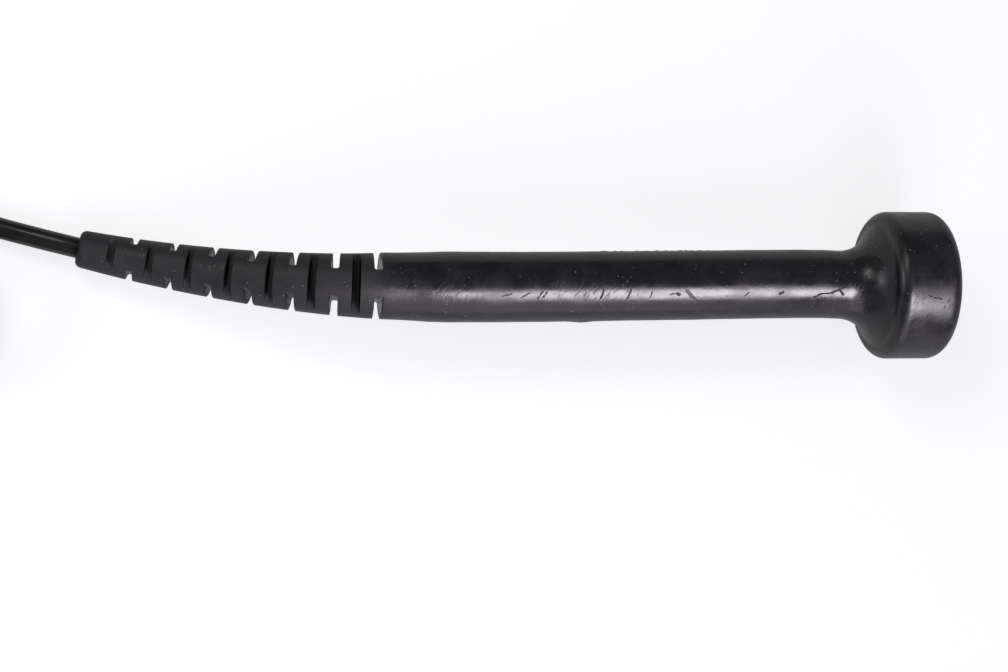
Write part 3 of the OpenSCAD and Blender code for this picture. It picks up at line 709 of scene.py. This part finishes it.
class RELEASE_OT_boot(bpy.types.Operator):
    """Build the one-piece rubber boot, with its ladder tail, barrel, neck and head"""

    bl_idname = "release.boot"
    bl_label = "Rubber boot"

    def execute(self, context):
        z = context.scene.release_boot
        rings = boot_rings(z)
        points = np.concatenate(rings) + handle_place(z)
        made = piece(
            "boot", points, loft_faces(len(rings), AROUND, closed=True), "handle",
            boot_material(), sharp=40, replaces=["rubber_boot"],
        )
        bevel(made, 0.18 * MM)
        return {"FINISHED"}


# ---- Cord ----


def hank_points(z):
    """The whole cord from the tail's tip: to the hank, through its turns, and up into the plug."""
    r, pitch = z.thick / 2, z.thick
    low = z.tie + r
    inner, outer = z.fold, z.fold + pitch
    boot = bpy.context.scene.release_boot
    tip = TailLine(boot).points[-1] + handle_place(boot)
    near = tip[0] - z.lead_in
    far = near - z.run
    # mm back from the tip, share of the way aside to the hank, mm above the floor
    lead = [
        (3.6, 0.09, 2.1), (7.6, 0.19, 1.6), (12.6, 0.32, 1), (18.6, 0.48, 0.5),
        (24.6, 0.66, 0.3), (30.6, 0.81, 0.4), (36.6, 0.93, 0.6),
    ]
    points = [tuple(tip)]
    for back, across, up in lead:
        points.append((tip[0] - back * MM, tip[1] + (outer - tip[1]) * across, r + up * MM))
    top = z.layers * 2
    for turn in range(top):
        layer = turn // 2
        first = outer if layer % 2 == 0 else inner
        other = inner if layer % 2 == 0 else outer
        radius = first if turn % 2 == 0 else other
        height = low + layer * pitch
        for t in (0, 0.25, 0.5, 0.75):
            points.append((near + (far - near) * t, radius, height))
        for i in range(9):
            a = math.pi / 2 + math.pi * i / 8
            points.append((far + radius * math.cos(a), radius * math.sin(a), height))
        for t in (0.25, 0.5, 0.75, 1):
            points.append((far + (near - far) * t, -radius, height))
        if turn == top - 1:
            break
        climb = turn % 2 == 1
        onward = radius if climb else other
        for i in range(1, 12):
            a = -math.pi / 2 + math.pi * i / 12
            rise = pitch * smooth((a + math.pi / 2) / (math.pi / 2)) if climb else 0
            reach = radius + (onward - radius) * smooth(a / (math.pi / 2))
            points.append((near + reach * math.cos(a), reach * math.sin(a), height + rise))
    lift = z.tie + z.layers * pitch + r + 0.2 * MM
    start_height = low + (z.layers - 1) * pitch
    for i in range(1, 6):
        a = -math.pi / 2 + math.pi / 2 * i / 6
        rise = (lift - start_height) * smooth(i / 6)
        points.append((near + inner * math.cos(a), inner * math.sin(a), start_height + rise))
    cover_low, cover_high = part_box("plug_cover")
    plug_y, plug_z = z.fold + r, (cover_low.z + cover_high.z) / 2
    # mm back along the hank, shares of the way aside and up to the plug's axis
    tail_end = [
        (0, 0, 0), (0.8, 0.33, 0), (3.5, 0.62, 0), (8, 0.85, 0), (14, 0.98, 0), (20, 1, 0.05),
        (26, 1, 0.2), (32, 1, 0.48), (38, 1, 0.8), (44, 1, 0.98), (48, 1, 1), (58, 1, 1), (69, 1, 1),
    ]
    for back, across, up in tail_end:
        points.append((near + inner - back * MM, plug_y * across, lift + (plug_z - lift) * up))
    return points


def between(a, b, from_t, to_t, t):
    """The point at t on the straight line from a at from_t to b at to_t."""
    return (to_t - t) / (to_t - from_t) * a + (t - from_t) / (to_t - from_t) * b


def spline_points(knots, spacing):
    """A centripetal Catmull-Rom line through the knots, in even steps, and its length."""
    knots = np.array(knots)
    chord = np.linalg.norm(np.diff(knots, axis=0), axis=1) ** 0.5
    knot_t = np.concatenate([[0], np.cumsum(chord)])
    padded = np.vstack([2 * knots[0] - knots[1], knots, 2 * knots[-1] - knots[-2]])
    times = np.concatenate([[-chord[0]], knot_t, [knot_t[-1] + chord[-1]]])
    out = []
    for i in range(1, len(padded) - 2):
        p0, p1, p2, p3 = padded[i - 1 : i + 3]
        t0, t1, t2, t3 = times[i - 1 : i + 3]
        for t in np.linspace(t1, t2, 24, endpoint=False):
            a1 = between(p0, p1, t0, t1, t)
            a2 = between(p1, p2, t1, t2, t)
            a3 = between(p2, p3, t2, t3, t)
            out.append(between(between(a1, a2, t0, t2, t), between(a2, a3, t1, t3, t), t1, t2, t))
    out.append(knots[-1])
    out = np.array(out)
    run = np.concatenate([[0], np.cumsum(np.linalg.norm(np.diff(out, axis=0), axis=1))])
    even = np.linspace(0, run[-1], int(run[-1] / spacing) + 1)
    return np.stack([np.interp(even, run, out[:, i]) for i in range(3)], 1), run[-1]


def tube_rings(path, radius, sides):
    """Rings along a path, with no twist."""
    rings = []
    side = None
    for i, p in enumerate(path):
        d = path[min(i + 1, len(path) - 1)] - path[max(i - 1, 0)]
        d /= np.linalg.norm(d)
        if side is None:
            side = np.cross([0, 0, 1.0], d)
        side = side - d * (side @ d)
        side /= np.linalg.norm(side)
        up = np.cross(d, side)
        a = 2 * math.pi * np.arange(sides) / sides
        rings.append(p + radius * (np.outer(np.cos(a), side) + np.outer(np.sin(a), up)))
    return rings


class RELEASE_OT_cord(bpy.types.Operator):
    """Lay the cord from the tail to the hank, wind the hank and lead its end into the plug"""

    bl_idname = "release.cord"
    bl_label = "Cord and hank"

    def execute(self, context):
        z = context.scene.release_cord
        path, whole = spline_points(hank_points(z), 1.6 * MM)
        sides = 24
        rings = tube_rings(path, z.thick / 2, sides)
        last = (len(rings) - 1) * sides
        faces = loft_faces(len(rings), sides)
        faces += [tuple(range(sides - 1, -1, -1)), tuple(range(last, last + sides))]
        made = piece(
            "cord", np.concatenate(rings), faces, "handle", cord_jacket(), sharp=60,
            replaces=["cord_free", "cord_hank", "cord_plug_end"],
        )
        carried = [bpy.data.objects[name] for name in ("tie", "plug_sleeve", "relief")]
        shown_new = ("plug_cover", "plug_relief")
        carried += [o for n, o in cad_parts.items() if n.startswith("plug_") and n not in shown_new]
        return {"FINISHED"}


# ---- Button and face ring ----


def button_profile(z, low, high):
    """(x, radius) from the plunger's seat round the skirt and the flange to the ribbed hollow."""
    plunger_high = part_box("plunger")[1]
    r, flange_r = z.button_d / 2, (high.y - low.y) / 2
    seat, bore = plunger_high.x + CLEAR, plunger_high.y + CLEAR
    boss_r, cavity = plunger_high.y + z.boss_wall, high.x - z.button_top
    boss_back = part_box("switch_bushing")[1].x + z.travel + 0.4 * MM
    edge, small = 1.1 * MM, 0.2 * MM
    hollow = r - 1.8 * MM
    profile = [
        (seat, 0), (seat, bore), (boss_back, bore), (boss_back, boss_r), (cavity, boss_r),
        (cavity, r - z.button_wall), (low.x, r - z.button_wall),
        *corner(low.x + small, flange_r - small, small, math.pi / 2, 3)[::-1],
        *corner(low.x + z.flange - small, flange_r - small, small, 0, 3)[::-1],
        (low.x + z.flange, r + small), (low.x + z.flange + small, r),
        *corner(high.x - 0.35 * MM - edge, r - edge, edge, 0, 8)[::-1],
    ]
    rib, count = 0.14 * MM, 60
    for i in range(count + 1):
        t = 1 - i / count
        wave = 0.5 + 0.5 * math.cos(2 * math.pi * z.ribs * t)
        dip = z.dimple * (1 - t * t) ** 1.2 + rib * wave * smooth((1 - t) * 6) * smooth(t * 6)
        profile.append((high.x - dip, hollow * t))
    return profile


def face_profile(z, low, high):
    """(x, radius) of the face ring: its rim, three fine grooves and the collar around the button."""
    inner, outer = z.button_d / 2 + z.gap, (high.y - low.y) / 2
    face, chamfer, edge, mouth = high.x - z.collar, 0.2 * MM, 0.4 * MM, 0.3 * MM
    collar_r = inner + 1.6 * MM
    profile = [
        (low.x, inner), (low.x, outer), (face - chamfer, outer), (face, outer - chamfer),
        (face, collar_r + 3.2 * MM),
    ]
    for i in range(25):
        dip = 0.16 * MM * (0.5 - 0.5 * math.cos(2 * math.pi * i / 8))
        profile.append((face - dip, collar_r + 3 * MM - i * 0.1 * MM))
    profile += [(face, collar_r + edge), (face + edge, collar_r)]
    profile += corner(high.x - edge, collar_r - edge, edge, 0)[::-1]
    profile += corner(high.x - mouth, inner + mouth, -mouth, 0)[::-1]
    return profile


class RELEASE_OT_button(bpy.types.Operator):
    """Turn the thumb button, with a ribbed hollow for the thumb, and the ring that it slides in"""

    bl_idname = "release.button"
    bl_label = "Thumb button and face ring"

    def execute(self, context):
        z = context.scene.release_ends
        colours = context.scene.release_finishes
        low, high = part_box("thumb_button")
        axis = np.array([0, 0, (low.z + high.z) / 2])
        profile = button_profile(z, low, high)
        gloss = finish("Button plastic", colours.button, (0.12, 0.22), depth=0.006, dust=0.08)
        piece(
            "button", lathe(profile, 96) + axis, loft_faces(len(profile), 96), "button",
            gloss, sharp=40, replaces=["thumb_button"],
        )
        profile = face_profile(z, *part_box("face_plate"))
        matt = finish("Face plastic", colours.plastic, (0.32, 0.46))
        piece(
            "face_ring", lathe(profile, 128) + axis, loft_faces(len(profile), 128, closed=True), "handle",
            matt, sharp=40, replaces=["face_plate"],
        )
        return {"FINISHED"}


# ---- Plug and tie ----


def sleeve_points(z, start, end, sleeve_r, bore, sides):
    """Points of the fluted sleeve, from its rounded cord end to the plug's body and back inside."""
    hollow, rounding, chamfer, steps = sleeve_r - z.sleeve_wall, z.sleeve_round, 0.4 * MM, 60
    floor = start + 2.05 * MM
    grip_from, grip_to, fade = start + 7.5 * MM, end - 4 * MM, 1.5 * MM
    profile = [(start, bore), (start, sleeve_r - rounding - chamfer)]
    for i in range(10):
        a = math.pi / 2 * i / 9
        profile.append((start + rounding * (1 - math.cos(a)), sleeve_r - rounding * (1 - math.sin(a))))
    straight = end - start - rounding - chamfer
    profile += [(start + rounding + straight * i / steps, sleeve_r) for i in range(1, steps + 1)]
    profile += [(end, sleeve_r - chamfer), (end, hollow), (floor, hollow), (floor, bore)]

    def fluted(x, radius, angles):
        if radius < sleeve_r - 1e-6:
            return np.full(len(angles), radius)
        share = smooth((x - grip_from) / fade) * smooth((grip_to - x) / fade)
        wave = (0.5 - 0.5 * np.cos(z.flutes * angles)) ** 0.7
        along = min(1, max(0, (x - grip_from) / (grip_to - grip_from)))
        return radius - 0.35 * MM * share * wave - 0.25 * MM * math.sin(math.pi * along)

    return lathe(profile, sides, fluted), len(profile)


def relief_profile(z, start, end, cord_r, relief_r):
    """(x, radius) of the ringed relief, with the flange that holds it in the sleeve."""
    root, flange_r = relief_r - 0.5 * MM, relief_r + 1 * MM
    lead, plain = 0.15 * MM, 2 * MM
    pitch, count = (start - plain) / z.ridges, z.ridges * 16
    profile = [(0, cord_r), (0, root - 0.4 * MM), (lead, root)]
    for i in range(1, count + 1):
        x = lead + (start - plain - lead) * i / count
        wave = smooth(1.6 * (0.5 - 0.5 * math.cos(2 * math.pi * x / pitch)) - 0.3)
        profile.append((x, root + (relief_r - root) * wave))
    flange_from, flange_to = start + 2.1 * MM, start + 4 * MM
    return profile + [
        (start - 1.5 * MM, relief_r), (flange_from, relief_r), (flange_from, flange_r),
        (flange_to, flange_r), (flange_to, root), (end, root), (end, cord_r),
    ]


class RELEASE_OT_plug(bpy.types.Operator):
    """Turn the plug's fluted sleeve and its ringed relief"""

    bl_idname = "release.plug"
    bl_label = "Plug sleeve and relief"

    def execute(self, context):
        z = context.scene.release_ends
        cord_r = context.scene.release_cord.thick / 2
        cover_low, cover_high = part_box("plug_cover")
        low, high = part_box("plug_relief")
        mouth = np.array([high.x, (low.y + high.y) / 2, (cover_low.z + cover_high.z) / 2])
        backwards = np.array([-1, 1, 1])
        start, end = high.x - cover_high.x, high.x - cover_low.x
        relief_r, sides = cord_r + z.relief_wall, z.flutes * 8
        sleeve_r = (cover_high.z - cover_low.z) / 2
        points, rings = sleeve_points(z, start, end, sleeve_r, relief_r + CLEAR, sides)
        plastic = finish("Sleeve plastic", context.scene.release_finishes.plastic, (0.2, 0.34))
        piece(
            "plug_sleeve", points * backwards + mouth, loft_faces(rings, sides, closed=True), "handle",
            plastic, sharp=50, replaces=["plug_cover"],
        )
        profile = relief_profile(z, start, high.x - low.x, cord_r + CLEAR, relief_r)
        points = lathe(profile, 64) * backwards + mouth
        piece(
            "relief", points, loft_faces(len(profile), 64, closed=True), "handle",
            gasket_rubber(), sharp=50, replaces=["plug_relief"],
        )
        return {"FINISHED"}


def weave_material():
    """Woven nylon tape: over and under threads with a fuzzy, slightly faded surface."""
    material, tree, shader, where = blank("Tie tape")
    split = place(tree, "ShaderNodeSeparateXYZ", {"Vector": where})
    pitch = bpy.context.scene.release_ends.weave
    warp = maths(tree, "SINE", maths(tree, "MULTIPLY", split.outputs[0], 2 * math.pi / pitch))
    round_way = maths(tree, "ADD", split.outputs[1], split.outputs[2])
    weft = maths(tree, "SINE", maths(tree, "MULTIPLY", round_way, 2 * math.pi / pitch))
    threads = maths(tree, "MULTIPLY", warp, weft)
    grain = effect(tree, "grain", where, Fine=5000.0, Coarse=300.0)
    share = band(tree, threads, -0.8, 0.8)
    base = blend_colour(tree, share, (0.006, 0.006, 0.007), (0.022, 0.022, 0.025))
    base = blend_colour(tree, band(tree, grain["Clouds"], 0.45, 0.8, 0.0, 0.5), base, (0.05, 0.05, 0.055))
    rough = band(tree, grain["Clouds"], 0.3, 0.7, 0.6, 0.85)
    height = maths(tree, "MULTIPLY_ADD", threads, 2.0, grain["Height"])
    feed(tree, shader, base, rough, height, 0.6, 0.08 * MM)
    return material


class RELEASE_OT_tie(bpy.types.Operator):
    """Wrap the woven tie around the hank's runs, with its end lapped over the top"""

    bl_idname = "release.tie"
    bl_label = "Hank tie"

    def execute(self, context):
        z = context.scene.release_ends
        cord = context.scene.release_cord
        low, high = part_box("hank_tie")
        t = cord.tie
        middle = ((low.y + high.y) / 2, (low.z + high.z) / 2)
        half_y, half_z = (high.y - low.y - t) / 2, (high.z - low.z - t) / 2
        bend = cord.thick / 2 + t / 2
        flat_y, flat_z = half_y - bend, half_z - bend
        quarter = math.pi / 2
        lap = t + 0.06 * MM
        line = []

        def close(share):
            return 0.0

        def rising(share):
            return lap * smooth(share * 1.6 - 0.6)

        def lapped(share):
            return lap

        def straight(y0, z0, y1, z1, normal, out=close):
            steps = max(2, round(math.hypot(y1 - y0, z1 - z0) / (z.weave / 2)))
            for i in range(steps):
                share = i / steps
                line.append((y0 + (y1 - y0) * share, z0 + (z1 - z0) * share, out(share), normal))

        def turned(y0, z0, a_from, out=close):
            for i in range(8):
                a = a_from - quarter * i / 8
                line.append((y0 + bend * math.cos(a), z0 + bend * math.sin(a), out(i / 8), a))

        straight(-flat_y, half_z, flat_y, half_z, quarter)
        turned(flat_y, flat_z, quarter)
        straight(half_y, flat_z, half_y, -flat_z, 0)
        turned(flat_y, -flat_z, 0)
        straight(flat_y, -half_z, -flat_y, -half_z, -quarter)
        turned(-flat_y, -flat_z, -quarter)
        straight(-half_y, -flat_z, -half_y, flat_z, math.pi)
        turned(-flat_y, flat_z, math.pi, rising)
        straight(-flat_y, half_z, flat_y * 0.7, half_z, quarter, lapped)
        half_wide, tongue_len = (high.x - low.x) / 2, 2.5 * MM
        skin = t / 2 - 0.05 * MM  # less the ripple and a little clearance
        half_count = 25
        across = np.linspace(-1, 1, half_count)
        rings = []
        total = len(line)
        for i, (y, up, out, a) in enumerate(line):
            from_end = (total - 1 - i) * z.weave / 2
            tongue = math.sqrt(max(0.02, 1 - max(0.0, 1 - from_end / tongue_len) ** 2))
            half = half_wide * (0.72 + 0.28 * tongue if from_end < tongue_len else 1)
            ripple = 0.04 * MM * np.cos(math.pi * (i + np.arange(half_count)))
            edge_in = 0.14 * MM * np.clip((np.abs(across) - 0.86) / 0.14, 0, 1) ** 2
            x = (low.x + high.x) / 2 + across * half
            sheet = []
            for side in (1, -1):
                reach = out + side * (skin + ripple - edge_in)
                ys = middle[0] + y + reach * math.cos(a)
                zs = middle[1] + up + reach * math.sin(a)
                sheet.append(np.stack([x, ys, zs], 1)[::side])
            rings.append(np.concatenate(sheet))
        count = 2 * half_count
        faces = loft_faces(total, count)
        faces += [tuple(range(count - 1, -1, -1)), tuple(range((total - 1) * count, total * count))]
        piece("tie", np.concatenate(rings), faces, "handle", weave_material(), sharp=50,
              replaces=["hank_tie"])
        return {"FINISHED"}


# ---- Inner pieces ----


class RELEASE_OT_inner_pieces(bpy.types.Operator):
    """Give the pieces that keep their frame shape their own finishes"""

    bl_idname = "release.inner_pieces"
    bl_label = "Inner pieces"

    def execute(self, context):
        colours = context.scene.release_finishes
        steel = finish("Drawn steel", (0.55, 0.56, 0.58), (0.22, 0.36), (0.4, 0.4, 0.42), 2600.0, metal=1.0)
        brass = finish("Turned brass", (0.72, 0.52, 0.22), (0.2, 0.34), (0.5, 0.33, 0.12), 2400.0, metal=1.0)
        nickel = finish(
            "Bright nickel", (0.72, 0.70, 0.66), (0.10, 0.22), (0.55, 0.53, 0.5), 1200.0, depth=0.004,
            metal=1.0,
        )
        nylon = finish("Natural nylon", (0.78, 0.74, 0.64), (0.35, 0.5), (0.66, 0.6, 0.48))
        phenolic = finish("Brown phenolic", (0.12, 0.045, 0.018), (0.28, 0.45), (0.2, 0.085, 0.035))
        plastic = finish("Black plastic", colours.plastic, (0.3, 0.45))
        red = finish("Red lead", (0.5, 0.02, 0.012), (0.3, 0.45))
        black = finish("Black lead", (0.012, 0.012, 0.013), (0.25, 0.4))
        made_of = [
            (steel, "core_tube return_spring contact_clip lock_washer"),
            (brass, "contact_bridge switch_bushing switch_nut terminal_a terminal_b cord_ferrule plug_lug"),
            (nickel, "plug_body plug_tip"),
            (nylon, "rear_bush plunger cord_bush plug_liner"),
            (phenolic, "switch_housing terminal_base"),
            (plastic, "head_cup plug_insulator"),
            (gasket_rubber(), "face_gasket solder_sleeve_a solder_sleeve_b"),
            (red, "lead_red plug_lead_red"),
            (black, "lead_black plug_lead_black"),
            (cord_jacket(), "cord_inner"),
        ]
        for material, name in ((material, name) for material, names in made_of for name in names.split()):
            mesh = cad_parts[name].data
            mesh.materials.clear()
            mesh.materials.append(material)
        return {"FINISHED"}


# ---- Stage ----


def softbox(name, place_at, aim, size, radiance, colour):
    """A rectangular studio light of the given radiance."""
    lamp = bpy.data.lights.new(name, "AREA")
    lamp.shape = "RECTANGLE"
    lamp.size, lamp.size_y = size
    lamp.energy = radiance * math.pi * size[0] * size[1]
    lamp.color = colour
    made = bpy.data.objects.new(name, lamp)
    bpy.context.scene.collection.objects.link(made)
    made.location = place_at
    made.rotation_euler = (Vector(aim) - Vector(place_at)).to_track_quat("-Z", "X").to_euler()
    return made


class RELEASE_OT_stage(bpy.types.Operator):
    """Set the camera, the white table and the soft studio lights"""

    bl_idname = "release.stage"
    bl_label = "Camera, table and lights"

    def execute(self, context):
        scene = context.scene
        floor = tuple(scene.release_finishes.floor)
        tilt, roll = math.radians(11.5), math.radians(0.37)
        right = Vector((math.cos(tilt), 0, math.sin(tilt)))
        up = Vector((0, 1, 0))
        c, n = math.cos(roll), math.sin(roll)
        right, up = right * c - up * n, up * c + right * n
        back = right.cross(up)
        lens = bpy.data.cameras.new("Camera")
        lens.lens, lens.sensor_width = 71.43, 36
        lens.clip_start, lens.clip_end = 0.01, 20
        camera = bpy.data.objects.new("Camera", lens)
        scene.collection.objects.link(camera)
        aim, far = Vector((25.5, 0, 19.4)) * MM, 519.5 * MM
        at = aim - (30.13 * right + 13.07 * up) * MM + far * back
        camera.matrix_world = Matrix((
            (right.x, up.x, back.x, at.x), (right.y, up.y, back.y, at.y),
            (right.z, up.z, back.z, at.z), (0, 0, 0, 1),
        ))
        scene.camera = camera
        scene.view_settings.view_transform = "Standard"

        half = 3.0
        mesh = bpy.data.meshes.new("table")
        mesh.from_pydata([(-half, -half, 0), (half, -half, 0), (half, half, 0), (-half, half, 0)], [],
                         [(0, 1, 2, 3)])
        table = bpy.data.objects.new("table", mesh)
        scene.collection.objects.link(table)
        material, tree, shader, where = blank("White table")
        base = blend_colour(tree, noise(tree, where, 6.0)[0], floor, [min(1, c * 1.01) for c in floor])
        tree.links.new(base, shader.inputs["Base Color"])
        shader.inputs["Roughness"].default_value = 0.8
        shader.inputs["Specular IOR Level"].default_value = 0.1
        shader.inputs["Emission Color"].default_value = (0.98, 1, 0.98, 1)
        shader.inputs["Emission Strength"].default_value = 0.25
        glow = place(tree, "ShaderNodeEmission", {"Color": (0.99, 0.96, 1, 1), "Strength": 0.47})
        seen = place(tree, "ShaderNodeLightPath")
        mix = place(tree, "ShaderNodeMixShader", {0: seen.outputs["Is Camera Ray"], 1: shader.outputs[0]})
        both = place(tree, "ShaderNodeAddShader", {0: shader.outputs[0], 1: glow.outputs[0]})
        tree.links.new(both.outputs[0], mix.inputs[2])
        tree.links.new(mix.outputs[0], tree.nodes["Material Output"].inputs["Surface"])
        mesh.materials.append(material)

        world = bpy.data.worlds.new("Studio")
        world.use_nodes = True
        world.node_tree.nodes["Background"].inputs["Color"].default_value = (0.9, 0.95, 1, 1)
        world.node_tree.nodes["Background"].inputs["Strength"].default_value = 0.12
        scene.world = world
        aim = (0.03, 0, 0.02)
        key = softbox("Key", (0.25, -0.34, 0.62), aim, (0.36, 0.27), 20, (1, 0.955, 1))
        flagged = bpy.data.collections.new("Kept off the table")
        flagged.objects.link(table)
        flagged.collection_objects[0].light_linking.link_state = "EXCLUDE"
        key.light_linking.receiver_collection = flagged
        softbox("Back light", (-0.32, 0.42, 0.6), aim, (0.26, 0.3), 3.4, (0.9, 1, 0.92))
        softbox("Left light", (-0.8, 0.14, 0.36), aim, (0.3, 0.3), 3.8, (1, 0.97, 1))
        softbox("Low fill", (0.1, -0.9, 0.33), aim, (1.4, 0.6), 1.45, (0.96, 0.88, 1))
        return {"FINISHED"}


# ---- Panel and registration ----


class RELEASE_PT_panel(bpy.types.Panel):
    """Sizes, colours and build steps of the shutter release"""

    bl_label = "Shutter release"
    bl_idname = "RELEASE_PT_panel"
    bl_space_type = "VIEW_3D"
    bl_region_type = "UI"
    bl_category = "Shutter release"

    def draw(self, context):
        for key in SETTINGS:
            settings = getattr(context.scene, key)
            box = self.layout.box()
            for name in settings.__annotations__:
                box.prop(settings, name)
        for operator in OPERATORS:
            self.layout.operator(operator.bl_idname)


SETTINGS = {
    "release_boot": BootSizes,
    "release_cord": CordSizes,
    "release_ends": EndSizes,
    "release_finishes": Finishes,
}
OPERATORS = [
    RELEASE_OT_stage, RELEASE_OT_plug, RELEASE_OT_tie, RELEASE_OT_cord, RELEASE_OT_boot,
    RELEASE_OT_button, RELEASE_OT_inner_pieces,
]


def register():
    """Registers the settings, the operators and the panel."""
    for kind in (*SETTINGS.values(), *OPERATORS, RELEASE_PT_panel):
        bpy.utils.register_class(kind)
    for name, kind in SETTINGS.items():
        setattr(bpy.types.Scene, name, bpy.props.PointerProperty(type=kind))


def unregister():
    """Takes them away again."""
    for name in SETTINGS:
        delattr(bpy.types.Scene, name)
    for kind in (RELEASE_PT_panel, *reversed(OPERATORS), *SETTINGS.values()):
        bpy.utils.unregister_class(kind)


def main():
    """Builds everything in order."""
    register()
    bpy.ops.release.stage()
    bpy.ops.release.plug()
    bpy.ops.release.tie()
    bpy.ops.release.cord()
    bpy.ops.release.boot()
    bpy.ops.release.button()
    bpy.ops.release.inner_pieces()


if __name__ == "__main__":
    main()
